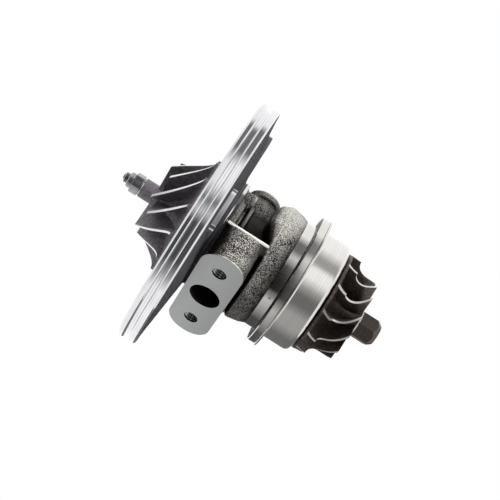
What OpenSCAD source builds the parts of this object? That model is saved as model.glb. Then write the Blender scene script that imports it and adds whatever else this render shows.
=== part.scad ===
// Turbocharger cartridge: the middle of a turbocharger, with its rotor in plain bearings
// between the compressor's seal plate and the turbine's heat shield.
// The rotor turns about the X axis, with the compressor at -X and the turbine at +X.
// The origin is on that axis, in the front face of the seal plate.
// Oil comes in at the top, +Z, and drains at the bottom, -Z. Lengths are in millimetres.

/* [Seal plate] */
// Outside radius of the seal plate, which centres the compressor housing
plate_r = 77.5; // [72:0.5:84]
// Width of the rim's front land
front_land = 3.1; // [2.6:0.1:4]
// Width of the ring groove in the rim
rim_groove_w = 3.7; // [3:0.1:4.5]
// Depth of the ring groove in the rim
rim_groove_depth = 2.5; // [1.5:0.1:3.2]
// Width of the rim's rear land
rear_land = 4.6; // [3.6:0.1:6]
// Chamfer on each edge of the rim
rim_chamfer = 1; // [0.4:0.1:1.2]
// Depth of the plate at its hub, from its front face to the bearing housing
plate_depth = 16.5; // [15.5:0.1:18.5]
// Height of the plate's hub over the cone of its back
plate_hub_step = 0.8; // [0.4:0.1:1.5]
// Width of each cast pad on the plate's back
pad_w = 27; // [14:0.5:30]
// Height of each pad's face behind the plate's front face
pad_height = 15.2; // [14:0.1:16]
// Radius of the circle that the plate's screws lie on
plate_screw_circle = 25; // [23.6:0.1:26]

/* [Bearing housing] */
// Radius of the housing's front flange
flange_r = 34; // [33:0.5:38]
// Thickness of the front flange
flange_t = 2.6; // [2:0.1:4]
// Radius of the waist round the bearing bore
waist_r = 20; // [19:0.5:22]
// Length from the front flange's face to the drum
waist_len = 28; // [27:0.5:32]
// Radius of the cast drum at its front
drum_r = 36.7; // [36.2:0.1:39]
// How much the drum's radius falls along its length
drum_taper = 1.4; // [0.5:0.1:1.8]
// Length of the cast drum
drum_len = 12.8; // [10:0.1:16]
// Radius of the machined land behind the drum
land_r = 33.9; // [31:0.1:34.4]
// Length of the machined land
land_len = 6.4; // [5:0.1:8]
// Radius of the rim that the turbine housing is clamped to
rim_r = 40.8; // [39:0.1:43]
// Thickness of that rim
rim_t = 4.7; // [4:0.1:6]

/* [Oil drain and inlet] */
// Width of the drain block along the rotor
drain_w = 25.9; // [23:0.1:26.4]
// Length of the drain block across the rotor
drain_l = 82.6; // [76:0.2:90]
// Corner radius of the drain block, as a share of half its width
drain_roundness = 0.94; // [0.6:0.02:0.98]
// Distance from the rotor's axis down to the drain face
drain_drop = 39.9; // [38.5:0.1:44]
// Distance from the front flange's face to the middle of the drain
drain_offset = 13.7; // [13.3:0.1:15]
// Radius of the drain hole
drain_hole_r = 9.2; // [7:0.1:10]
// Distance between the two drain bolts
drain_bolt_span = 52; // [46:0.5:54]
// Radius of each tapped hole for a drain bolt
drain_bolt_r = 4.25; // [3.3:0.05:5]
// Depth of each tapped hole for a drain bolt
drain_bolt_depth = 16; // [10:0.5:18]
// Height of the pocket's floor line above the drain face
shelf_height = 21.7; // [18:0.1:24]
// Distance from the front flange's face to the middle of the inlet
inlet_offset = 14.6; // [13.5:0.1:16]
// Height of the inlet face above the rotor's axis
inlet_height = 36; // [34:0.5:42]
// Radius of the inlet pad's round ends
inlet_pad_r = 10.2; // [9:0.1:11]
// Distance between the centres of the inlet pad's round ends
inlet_pad_span = 4; // [2:0.5:8]
// Radius of the tapped inlet hole
inlet_r = 5.25; // [4:0.05:6]
// Depth of the tapped inlet hole
inlet_depth = 12; // [9:0.5:14]

/* [Heat shield] */
// Depth of the heat shield, from the rim's face to its end
shield_depth = 18.2; // [15:0.1:22]
// Outside radius of the heat shield's cup
shield_r = 34.6; // [32:0.1:37]
// Thickness of the heat shield's sheet
shield_t = 1; // [0.8:0.05:1.4]
// Outside radius of the heat shield's flange
shield_flange_r = 41.6; // [40.9:0.1:44]
// Outside radius of the bend at the cup's end
shield_corner = 3; // [2:0.1:4]

/* [Compressor wheel] */
// Outside radius of the compressor wheel
comp_tip_r = 36.8; // [33:0.1:40]
// Radius of the blades at the wheel's inlet
comp_eye_r = 22.5; // [20:0.1:24]
// Radius of the compressor wheel's nose
comp_nose_r = 5.9; // [5.6:0.1:7]
// Length of the compressor wheel, from nose to back
comp_len = 32; // [30:0.5:36]
// Length of the blades along the rotor
comp_blade_len = 23.4; // [20:0.1:26]
// Width of the compressor blades' outer ends
comp_tip_w = 1.7; // [1.2:0.1:3]
// How far the splitter blades start behind the full blades
splitter_setback = 3.1; // [2:0.1:6]
// Full blades, with as many splitters between them
comp_blades = 6; // [5:1:7]
// Angle that the compressor blades wrap round the wheel
comp_wrap = 41; // [35:1:48]
// Thickness of the compressor blades' edges
comp_blade_t = 1.4; // [0.8:0.05:1.6]
// Running gap behind the compressor wheel
comp_gap = 0.8; // [0.5:0.1:1.2]

/* [Turbine wheel] */
// Outside radius of the turbine wheel
turb_tip_r = 31.3; // [28:0.1:33]
// Radius of the blades at the turbine's outlet
turb_exit_r = 25; // [23:0.1:27]
// Number of turbine blades
turb_blades = 12; // [9:1:13]
// Width of the turbine blades' outer ends
turb_tip_w = 7.2; // [5:0.1:9]
// Length of the turbine wheel from its back to the blades' outlet
turb_len = 22; // [20:0.1:25]
// Thickness of the turbine blades' edges
turb_blade_t = 1.3; // [1:0.05:1.6]
// Angle that the turbine blades turn back at the outlet
turb_turn = 22; // [15:1:30]
// Running gap between the heat shield and the turbine wheel
turb_gap = 1.2; // [0.8:0.1:2]
// Size across flats of the hexagon on the turbine's end
turb_hex = 15; // [13:0.1:16]
// Length of that hexagon
turb_hex_len = 13; // [10:0.5:16]

/* [Rotor and bearings] */
// Radius of the shaft's journals
journal_r = 5.5; // [5:0.05:6]
// Radius of the shaft through the compressor wheel
stub_r = 3; // [2.8:0.05:3.2]
// Length of the shaft's bare tip past the nut
tip_len = 3.4; // [2:0.1:5]
// Size across flats of the compressor nut
nut_hex = 11; // [10:0.1:11.6]
// Length of the nut's hexagon
nut_hex_len = 5.1; // [4:0.1:7]
// Length of the nut's round collar
nut_collar_len = 3.1; // [2:0.1:4]
// Outside radius of the floating bearings
bush_r = 9; // [8.4:0.05:9.6]
// Length of each floating bearing
bush_len = 8; // [6:0.1:9]
// Radius of the shaft's boss that the turbine wheel is welded to
boss_r = 9; // [8.4:0.05:10]
// Radius of the flinger's sleeve in the seal plate
sleeve_r = 8.7; // [8:0.05:9.4]
// Thickness of the thrust bearing
thrust_t = 4; // [3:0.1:5]
// Outside radius of the thrust bearing
thrust_r = 18; // [17.6:0.1:18.4]

/* [Fits] */
// Radial clearance of a journal in its floating bearing
oil_film = 0.04; // [0.02:0.005:0.08]
// Radial clearance of a floating bearing in the housing
outer_film = 0.05; // [0.02:0.005:0.08]
// Axial clearance on each side of the thrust bearing
thrust_play = 0.1; // [0.05:0.01:0.2]
// Radial gap between the rotor and the bores that its piston rings seal
seal_gap = 0.3; // [0.3:0.05:0.5]
// Clearance of a piece that is seated in a bore of its own body
seat_fit = 0.02; // [0.01:0.005:0.05]

/* [Hidden] */
$fn = 64;

// Places along the rotor, in order
comp_back = -comp_gap;
comp_nose = comp_back - comp_len;
nut_washer_t = 0.6;
nut_front = comp_nose - nut_washer_t - nut_hex_len - nut_collar_len;
tip_x = nut_front - tip_len;
rim_w = front_land + rim_groove_w + rear_land;
housing_x = plate_depth;
drum_x = housing_x + waist_len;
land_x = drum_x + drum_len;
rim_x = land_x + land_len;
seat_x = rim_x + rim_t;
shield_end = seat_x + shield_depth;
turb_back = shield_end + turb_gap;

// Seal plate
plate_bore = sleeve_r + seal_gap;
flinger_cavity_r = 15;
flinger_cavity_depth = 7.5;
deflector_r = 17;
deflector_depth = 3.5;
o_ring_circle = 30.4;
o_ring_wire = 0.95;
o_ring_groove_depth = 2 * (o_ring_wire + seat_fit);
o_ring_groove_w = 2.6;
screw_angles = [45, 135, 225, 315];
screw_r = 3;
screw_head_r = 4.9;
screw_head_h = 6;
screw_head_sink = 1;
screw_hex = 5;
screw_boss_r = 5.6;
screw_grip = 8;
screw_room = 0.25;
pad_angles = [118, 204];
pad_gap = 2;
pad_inset = 14.5;
pad_corner = 4;
pad_inner = flange_r + pad_gap;
pad_outer = plate_r - pad_inset;
back_edge = 3.5;
back_edge_r = plate_r - back_edge;
recess_room = 1.2;
recess_depth = 0.5;

// Thrust stack and bearing bore
thrust_back = housing_x + thrust_t;
thrust_bore = 6.4;
thrust_cavity_r = 12.2;
thrust_cavity_len = 3.5;
collar_r = 10;
collar_t = 1.8;
washer_t = 2.2;
neck_r = 6;
journal_x = thrust_back + thrust_play + washer_t;
thrust_screw_circle = 15;
thrust_screw_r = 1.5;
thrust_screw_head_r = 2.6;
thrust_screw_head_h = 1.4;
thrust_screw_len = 10;
thrust_screw_angles = [90, 210, 330];
bore_r = bush_r + outer_film;
bore_x = thrust_back + thrust_cavity_len;
snap_t = 1.2;
snap_depth = 0.9;
snap_wall = 1.9;
snap_edge = 0.8;
bush_gap = 0.2;
front_snap_x = bore_x + snap_edge;
front_bush_x = front_snap_x + snap_t + bush_gap;
rear_cavity_r = 13;
rear_wall = 8;
bore_end = seat_x - rear_wall;
rear_snap_x = bore_end - snap_edge - snap_t;
rear_bush_x = rear_snap_x - bush_gap - bush_len;
rear_cavity_end = seat_x - 2.4;
boss_x = rear_cavity_end - 1.5;
seal_bore = boss_r + seal_gap;
nose_wall = 5.7;
nose_r = seal_bore + nose_wall;
nose_end = shield_end - shield_t - 0.2;
shield_hole = boss_r + 2.5;

// Piston rings
ring_t = 1.6;
ring_wall = 1.5;
ring_side = 0.15;
ring_cut = 0.5;
comp_ring_x = 3.5;
turb_ring_x = seat_x + shield_depth / 2;

// Oil ways in the housing
drain_x = housing_x + drain_offset;
drain_shoulder = 24;
drain_corner = drain_roundness * drain_w / 2;
riser_r = 5;
riser_x = (front_bush_x + bush_len + rear_bush_x) / 2;
inlet_x = housing_x + inlet_offset;
inlet_floor = inlet_height - inlet_depth;
drill_point_r = 1;
drill_point_depth = 0.3;
feed_r = 1.5;
feed_offset = 3;

// Compressor wheel
comp_le_x = comp_back - comp_blade_len;
comp_hub_x = comp_le_x - 0.7;
comp_disc_t = 1.4;
comp_hub_end = comp_back - comp_disc_t;
comp_blade_r = comp_tip_r - 0.25;
comp_phase = 57.8;
comp_wrap_power = 1.2;
comp_pitch = 360 / comp_blades;
comp_bore = stub_r + seat_fit;

// Turbine wheel
turb_disc_t = 1.7;
turb_hub_x = turb_back + turb_disc_t;
turb_hub_r = 9.2;
turb_disc_r = turb_tip_r - 0.2;
turb_exit_x = turb_back + turb_len;
turb_hub_end = turb_exit_x + 1.2;
turb_nose_x = turb_exit_x + 2.5;
turb_lean = 6;
turb_lean_len = 8;
turb_bend_len = 10.2;
turb_lean_end = turb_back + turb_lean_len;
turb_bend_x = turb_back + turb_bend_len;
turb_phase = 11;
turb_hex_phase = 6;
nut_hex_phase = 23;
root_sink = 0.8;
root_extra = 0.7;

// Value a fraction f of the way from a to b
function mix(a, b, f) = a + (b - a) * f;

// Points on an arc about c, from angle a0 to angle a1
function arc(c, r, a0, a1, n = 6) =
    [for (i = [0:n]) c + r * [cos(mix(a0, a1, i / n)), sin(mix(a0, a1, i / n))]];

// Point at place p = [x, radius], turned by an angle about the rotor's axis
function about(p, angle) = [p[0], p[1] * cos(angle), p[1] * sin(angle)];

// Solid of revolution about the rotor's axis, from points [x, radius]
module turned(points) {
    rotate([0, 90, 0])
        rotate_extrude()
            polygon([for (p = points) [p[1], p[0]]]);
}

// Round bar along the rotor's axis, from x0 to x1
module bar(x0, x1, r, sides = $fn) {
    translate([x0, 0, 0])
        rotate([0, 90, 0])
            cylinder(h = x1 - x0, r = r, $fn = sides);
}

// Tube along the rotor's axis, from x0 to x1
module tube(x0, x1, outer, inner) {
    turned([[x0, inner], [x1, inner], [x1, outer], [x0, outer]]);
}

// Hexagonal bar along the rotor's axis, turned by phase about it
module hex_bar(x0, x1, across_flats, phase) {
    rotate([phase, 0, 0])
        bar(x0, x1, across_flats / 2 / cos(30), sides = 6);
}

// Child copies at the given angles about the rotor's axis, each moved out to a circle
module ring_of(angles, circle) {
    for (a = angles)
        rotate([a, 0, 0])
            translate([0, circle, 0])
                children();
}

// Flat plan with round corners, centred on the origin
module rounded_plan(w, l, r) {
    square([w - 2 * r, l], center = true);
    square([w, l - 2 * r], center = true);
    for (x = [-1, 1], y = [-1, 1])
        translate([x * (w / 2 - r), y * (l / 2 - r)])
            circle(r);
}

// Piston ring or snap ring along the rotor's axis, with a cut across it
module split_ring(x0, t, outer, inner, cut) {
    difference() {
        tube(x0, x0 + t, outer, inner);
        translate([x0 - 1, -cut / 2, 0])
            cube([t + 2, cut, outer + 1]);
    }
}

// Twisted blade. path(s, h) gives [x, radius] at a share s of the chord and h of the span,
// and turn(s, h) gives its angle about the rotor's axis there.
module blade(path, turn, tip_t, start, chord_steps, span_steps) {
    step = 0.01;
    share = function (i) mix(start, 1, i / chord_steps);
    lean = function (s, h)
        let (s0 = max(s - step, 0), s1 = min(s + step, 1))
        path(s, h)[1] * (turn(s1, h) - turn(s0, h)) * PI / 180 / norm(path(s1, h) - path(s0, h));
    half = function (s, h)
        (tip_t + root_extra * (1 - h)) / 2 / path(s, h)[1] * 180 / PI * sqrt(1 + pow(lean(s, h), 2));
    at = function (i, j, side) (i * (span_steps + 1) + j) * 2 + side;
    quad = function (a, b, c, d) [[a, b, c], [a, c, d]];
    points = [for (i = [0:chord_steps], j = [0:span_steps], side = [-1, 1])
        let (s = share(i), h = j / span_steps)
        about(path(s, h), turn(s, h) + side * half(s, h))];
    quads = concat(
        [for (i = [0:chord_steps - 1], j = [0:span_steps - 1])
            each quad(at(i, j, 1), at(i, j + 1, 1), at(i + 1, j + 1, 1), at(i + 1, j, 1))],
        [for (i = [0:chord_steps - 1], j = [0:span_steps - 1])
            each quad(at(i, j, 0), at(i + 1, j, 0), at(i + 1, j + 1, 0), at(i, j + 1, 0))],
        [for (j = [0:span_steps - 1])
            each quad(at(0, j, 0), at(0, j + 1, 0), at(0, j + 1, 1), at(0, j, 1))],
        [for (j = [0:span_steps - 1], n = chord_steps)
            each quad(at(n, j, 0), at(n, j, 1), at(n, j + 1, 1), at(n, j + 1, 0))],
        [for (i = [0:chord_steps - 1], n = span_steps)
            each quad(at(i + 1, n, 0), at(i + 1, n, 1), at(i, n, 1), at(i, n, 0))],
        [for (i = [0:chord_steps - 1])
            each quad(at(i, 0, 0), at(i, 0, 1), at(i + 1, 0, 1), at(i + 1, 0, 0))]);
    polyhedron(points, quads);
}

// Hub of the compressor wheel, a quarter of an ellipse from its nose to its disc
function comp_hub(s) = [mix(comp_hub_x, comp_hub_end, sin(90 * s)),
                        mix(comp_nose_r, comp_tip_r, 1 - cos(90 * s))];

// Outer edge of the compressor blades, between a straight cone and a quarter of an ellipse
function comp_shroud(s) = [mix(comp_le_x, comp_hub_end - comp_tip_w, sin(90 * s)),
                           mix(comp_eye_r, comp_blade_r, mix(1 - cos(90 * s), sin(90 * s), 0.4))];

// Root of the compressor blades, sunk into the hub
function comp_root(s) = [mix(comp_le_x, comp_hub_end, sin(90 * s)) + root_sink * sin(90 * s),
                         mix(comp_nose_r - root_sink, comp_blade_r, 1 - cos(90 * s))];

function comp_turn(s) = comp_wrap * pow(1 - sin(90 * s), comp_wrap_power);

// Hub of the turbine wheel, a quarter of an ellipse from its disc to its nose
function turb_hub(s) = [mix(turb_hub_x, turb_hub_end, 1 - cos(90 * s)),
                        mix(turb_tip_r, turb_hub_r, sin(90 * s))];

// Outer edge of the turbine blades
function turb_shroud(s) = [mix(turb_back + turb_tip_w, turb_exit_x, 1 - cos(90 * s)),
                           mix(turb_exit_r, turb_tip_r, pow(1 - sin(90 * s), 1.5))];

// Root of the turbine blades, sunk into the hub
function turb_root(s) = turb_hub(s) - root_sink * [cos(90 * s), sin(90 * s)];

// The turbine blades lean a little up to the bend, then turn back towards the outlet
function turb_turn_at(x) = x < turb_bend_x
    ? turb_lean * sin(90 * max(0, min(1, (x - turb_back) / (turb_lean_end - turb_back))))
    : turb_lean - turb_turn * pow((x - turb_bend_x) / (turb_exit_x - turb_bend_x), 2);

module compressor_blade(start) {
    blade(function (s, h) mix(comp_root(s), comp_shroud(s), h),
          function (s, h) comp_turn(s), comp_blade_t, start, 12, 3);
}

module turbine_blade() {
    blade(function (s, h) mix(turb_root(s), turb_shroud(s), h),
          function (s, h) turb_turn_at(mix(turb_root(s), turb_shroud(s), h)[0]),
          turb_blade_t, 0, 12, 3);
}

module compressor_wheel() {
    splitter_start = asin(splitter_setback / (comp_blade_len - comp_disc_t)) / 90;
    nose_edge = 0.5;
    color("dimgray") {
        difference() {
            union() {
                turned(concat([[comp_nose, 0], [comp_nose, comp_nose_r - nose_edge],
                               [comp_nose + nose_edge, comp_nose_r]],
                              [for (i = [0:14]) comp_hub(i / 14)],
                              [[comp_back, comp_tip_r], [comp_back, 0]]));
                for (i = [0:comp_blades - 1]) {
                    rotate([comp_phase + i * comp_pitch, 0, 0])
                        compressor_blade(0);
                    rotate([comp_phase + (i + 0.5) * comp_pitch, 0, 0])
                        compressor_blade(splitter_start);
                }
            }
            bar(comp_nose - 1, comp_back + 1, comp_bore);
        }
    }
}

module turbine_wheel() {
    nose_rim = 0.9;
    hex_chamfer = 3.6;
    hex_chamfer_len = 5;
    hex_top = turb_hex / 2 / cos(30);
    hex_end = turb_nose_x + turb_hex_len;
    color("#2a2523") {
        union() {
            turned(concat([[turb_back, 0], [turb_back, turb_disc_r], [turb_hub_x, turb_disc_r]],
                          [for (i = [1:14]) turb_hub(i / 14)],
                          [[turb_nose_x - nose_rim, turb_hub_r], [turb_nose_x, turb_hub_r - nose_rim],
                           [turb_nose_x, 0]]));
            intersection() {
                hex_bar(turb_nose_x - 2, hex_end, turb_hex, turb_hex_phase);
                turned([[turb_nose_x - 3, 0], [turb_nose_x - 3, hex_top + 1],
                        [hex_end - hex_chamfer_len, hex_top + 1], [hex_end + 1, hex_top - hex_chamfer],
                        [hex_end + 1, 0]]);
            }
        }
        for (i = [0:turb_blades - 1])
            rotate([turb_phase + i * 360 / turb_blades, 0, 0])
                turbine_blade();
    }
}

module compressor_nut() {
    hex_x = nut_front + nut_collar_len;
    collar_top = nut_hex / 2 - 0.8;
    color("silver") {
        difference() {
            union() {
                turned([[nut_front, 0], [nut_front, collar_top - 0.5], [nut_front + 0.5, collar_top],
                        [comp_nose, collar_top], [comp_nose, 0]]);
                hex_bar(hex_x, hex_x + nut_hex_len, nut_hex, nut_hex_phase);
                bar(hex_x + nut_hex_len / 2, comp_nose, comp_nose_r - 0.5);
            }
            bar(nut_front - 1, comp_nose + 1, stub_r + seat_fit);
        }
    }
}

module rotor_shaft() {
    tip_r = 1.75;
    groove_r = boss_r - ring_wall + seal_gap - 0.6;
    color("lightsteelblue") {
        turned([[tip_x, 0], [tip_x, tip_r - 0.3], [tip_x + 0.3, tip_r], [nut_front, tip_r],
                [nut_front, stub_r], [journal_x, stub_r], [journal_x, journal_r], [boss_x, journal_r],
                [boss_x, boss_r], [turb_ring_x - ring_side, boss_r], [turb_ring_x - ring_side, groove_r],
                [turb_ring_x + ring_t + ring_side, groove_r],
                [turb_ring_x + ring_t + ring_side, boss_r], [turb_back, boss_r], [turb_back, 0]]);
    }
}

module oil_flinger() {
    groove_r = sleeve_r - ring_wall + seal_gap - 0.6;
    disc_x = housing_x - flinger_cavity_depth + 0.9;
    disc_t = 1.8;
    neck = neck_r + 1;
    rear = housing_x - thrust_play;
    bore = stub_r + seat_fit;
    color("slategray") {
        turned([[comp_back, bore], [comp_back, sleeve_r], [comp_ring_x - ring_side, sleeve_r],
                [comp_ring_x - ring_side, groove_r], [comp_ring_x + ring_t + ring_side, groove_r],
                [comp_ring_x + ring_t + ring_side, sleeve_r], [disc_x, sleeve_r],
                [disc_x, flinger_cavity_r - 1.5], [disc_x + disc_t, flinger_cavity_r - 1.5],
                [disc_x + disc_t, neck], [rear - collar_t, neck], [rear - collar_t, collar_r],
                [rear, collar_r], [rear, bore]]);
    }
}

module thrust_spacer() {
    color("slategray")
        tube(housing_x - thrust_play, thrust_back + thrust_play, neck_r, stub_r + seat_fit);
}

module thrust_washer() {
    color("slategray")
        tube(thrust_back + thrust_play, journal_x, collar_r, stub_r + seat_fit);
}

module thrust_bearing() {
    groove_w = 2;
    groove_depth = 0.6;
    color("peru") {
        difference() {
            tube(housing_x, thrust_back, thrust_r, thrust_bore);
            ring_of(thrust_screw_angles, thrust_screw_circle) {
                bar(housing_x - 1, thrust_back + 1, thrust_screw_r + screw_room);
                bar(housing_x - 1, housing_x + thrust_screw_head_h, thrust_screw_head_r + screw_room);
            }
            for (a = [30, 150, 270])
                rotate([a, 0, 0])
                    translate([housing_x - 1, 0, -groove_w / 2])
                        cube([1 + groove_depth, collar_r, groove_w]);
        }
    }
}

module thrust_bearing_screws() {
    color("dimgray") {
        ring_of(thrust_screw_angles, thrust_screw_circle) {
            difference() {
                bar(housing_x, housing_x + thrust_screw_head_h, thrust_screw_head_r);
                bar(housing_x - 1, housing_x + thrust_screw_head_h / 2, thrust_screw_r - 0.2, sides = 6);
            }
            bar(housing_x + thrust_screw_head_h, housing_x + thrust_screw_len, thrust_screw_r);
        }
    }
}

module oil_deflector() {
    sheet_t = 1;
    lip = 1.4;
    front = housing_x - deflector_depth;
    outer = deflector_r - seat_fit;
    color("darkkhaki") {
        turned([[front, collar_r + 0.8], [front, outer], [housing_x, outer], [housing_x, outer - lip],
                [front + sheet_t, outer - lip], [front + sheet_t, collar_r + 0.8]]);
    }
}

module compressor_piston_ring() {
    color("gray")
        split_ring(comp_ring_x, ring_t, plate_bore - seat_fit, plate_bore - ring_wall, ring_cut);
}

module turbine_piston_ring() {
    color("gray")
        split_ring(turb_ring_x, ring_t, seal_bore - seat_fit, seal_bore - ring_wall, ring_cut);
}

module snap_ring(x0) {
    outer = bore_r + snap_depth - seat_fit;
    split_ring(x0, snap_t, outer, outer - snap_wall, 4);
}

module front_snap_ring() {
    color("dimgray")
        snap_ring(front_snap_x);
}

module rear_snap_ring() {
    color("dimgray")
        snap_ring(rear_snap_x);
}

// Floating bearing, with a row of oil holes round its middle
module floating_bush(x0) {
    hole_r = 1.1;
    holes = 6;
    difference() {
        tube(x0, x0 + bush_len, bush_r, journal_r + oil_film);
        for (i = [0:holes - 1])
            rotate([i * 360 / holes, 0, 0])
                translate([x0 + bush_len / 2, 0, 0])
                    cylinder(h = bush_r + 1, r = hole_r);
    }
}

module front_bearing() {
    color("goldenrod")
        floating_bush(front_bush_x);
}

module rear_bearing() {
    color("goldenrod")
        floating_bush(rear_bush_x);
}

module bearing_spacer() {
    window_r = 2.6;
    windows = 4;
    x0 = front_bush_x + bush_len + bush_gap;
    x1 = rear_bush_x - bush_gap;
    color("lightslategray") {
        difference() {
            tube(x0, x1, bore_r - seat_fit, journal_r + 1);
            for (i = [0:windows - 1])
                rotate([i * 360 / windows, 0, 0])
                    translate([riser_x, 0, 0])
                        cylinder(h = bore_r + 1, r = window_r);
        }
    }
}

module heat_shield() {
    t = shield_t;
    bend = 1.6;
    cup_x = seat_x + t + bend;
    end = shield_end;
    c = shield_corner;
    outside = concat([[seat_x, shield_flange_r], [seat_x + t, shield_flange_r]],
                     arc([cup_x, shield_r + bend], bend, 180, 270),
                     arc([end - c, shield_r - c], c, 90, 0),
                     [[end, shield_hole]]);
    inside = concat([[end - t, shield_hole]],
                    arc([end - c, shield_r - c], c - t, 0, 90),
                    arc([cup_x, shield_r + bend], bend + t, 270, 180));
    color("gainsboro")
        turned(concat(outside, inside));
}

module seal_plate() {
    groove_floor = plate_r - rim_groove_depth;
    c = rim_chamfer;
    groove_end = front_land + rim_groove_w;
    cone_end = plate_depth - plate_hub_step;
    color("silver") {
        difference() {
            union() {
                turned([[0, 0], [0, plate_r - c], [c, plate_r], [front_land - c, plate_r],
                        [front_land, plate_r - c], [front_land, groove_floor], [groove_end, groove_floor],
                        [groove_end, plate_r - c], [groove_end + c, plate_r], [rim_w - c, plate_r],
                        [rim_w, plate_r - c], [rim_w, back_edge_r], [cone_end, flange_r],
                        [plate_depth, flange_r - plate_hub_step], [plate_depth, 0]]);
                for (a = pad_angles)
                    rotate([a - 90, 0, 0])
                        translate([rim_w / 2, 0, (pad_inner + pad_outer) / 2])
                            rotate([0, 90, 0])
                                linear_extrude(pad_height - rim_w / 2)
                                    rounded_plan(pad_outer - pad_inner, pad_w, pad_corner);
            }
            bar(-1, plate_depth + 1, plate_bore);
            bar(-1, recess_depth, comp_tip_r + recess_room);
            bar(plate_depth - flinger_cavity_depth, plate_depth + 1, flinger_cavity_r);
            bar(plate_depth - deflector_depth, plate_depth + 1, deflector_r);
            tube(plate_depth - o_ring_groove_depth, plate_depth + 1,
                 o_ring_circle + o_ring_groove_w / 2, o_ring_circle - o_ring_groove_w / 2);
            ring_of(screw_angles, plate_screw_circle) {
                bar(-1, plate_depth + 1, screw_r + screw_room);
                bar(-1, screw_head_sink + screw_head_h, screw_head_r + screw_room);
            }
        }
    }
}

module seal_plate_screws() {
    head_end = screw_head_sink + screw_head_h;
    color("dimgray") {
        ring_of(screw_angles, plate_screw_circle) {
            difference() {
                bar(screw_head_sink, head_end, screw_head_r);
                bar(screw_head_sink - 1, screw_head_sink + screw_head_h / 2, screw_hex / 2 / cos(30),
                    sides = 6);
            }
            bar(head_end, housing_x + screw_grip, screw_r);
        }
    }
}

module seal_plate_o_ring() {
    color("#202020")
        translate([plate_depth - o_ring_groove_depth / 2, 0, 0])
            rotate([0, 90, 0])
                rotate_extrude()
                    translate([o_ring_circle, 0])
                        circle(o_ring_wire);
}

// Turned forms of the housing: front flange, waist, drum, land, rim and seal nose
module housing_turning() {
    edge = 0.8;
    drum_end_r = drum_r - drum_taper;
    drum_bevel = 3.2;
    turned([[housing_x, 0], [housing_x, flange_r - edge], [housing_x + edge, flange_r],
            [housing_x + flange_t, flange_r], [housing_x + flange_t, waist_r], [drum_x, waist_r],
            [drum_x, drum_r - 2 * edge], [drum_x + 2 * edge, drum_r],
            [land_x - drum_bevel, drum_end_r], [land_x, land_r], [rim_x + edge, land_r],
            [rim_x, land_r + edge], [rim_x, rim_r - edge / 2], [rim_x + edge / 2, rim_r],
            [seat_x - edge / 2, rim_r], [seat_x, rim_r - edge / 2], [seat_x, nose_r],
            [nose_end, nose_r - edge], [nose_end, 0]]);
}

// Block that carries the drain flange, under the pocket on each side of the waist
module drain_block() {
    pocket_w = waist_len - flange_t;
    pocket_corner = 5;
    pocket_top = 2 * drain_drop;
    difference() {
        translate([drain_x, 0, -drain_drop])
            linear_extrude(drain_drop)
                rounded_plan(drain_w, drain_l, drain_corner);
        translate([housing_x + flange_t + pocket_w / 2, drain_l / 2 + 1,
                   -drain_drop + shelf_height + pocket_top / 2])
            rotate([90, 0, 0])
                linear_extrude(drain_l + 2)
                    rounded_plan(pocket_w, pocket_top, pocket_corner);
    }
}

// Boss that carries the inlet pad, joined to the front flange, with a web to the drum
module inlet_boss() {
    pad_t = 3.4;
    neck_drop = 0.5;
    foot_r = inlet_pad_r - 1.2;
    neck_r = inlet_pad_r - neck_drop;
    neck_top = inlet_height - pad_t;
    web_t = 1.3 * foot_r;
    web_top = 0.74 * inlet_height;
    translate([inlet_x, 0, 0]) {
        cylinder(h = neck_top, r1 = foot_r, r2 = neck_r);
        translate([0, 0, neck_top])
            linear_extrude(pad_t)
                rounded_plan(2 * inlet_pad_r, 2 * inlet_pad_r + inlet_pad_span, inlet_pad_r - 0.01);
    }
    translate([inlet_x, -web_t / 2, 0])
        cube([drum_x + 2 - inlet_x, web_t, web_top]);
    translate([housing_x + 1, -foot_r, 0])
        cube([inlet_x - housing_x - 1, 2 * foot_r, neck_top - 2 * neck_drop]);
}

// Drilling from the inlet's floor down to the middle of a bearing
module oil_feed(start_x, bearing_x) {
    drop = inlet_floor - bore_r;
    slope = atan2(bearing_x - start_x, drop);
    translate([start_x, 0, inlet_floor + 0.5])
        rotate([0, 180 - slope, 0])
            cylinder(h = (drop + 1) / cos(slope), r = feed_r);
}

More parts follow.
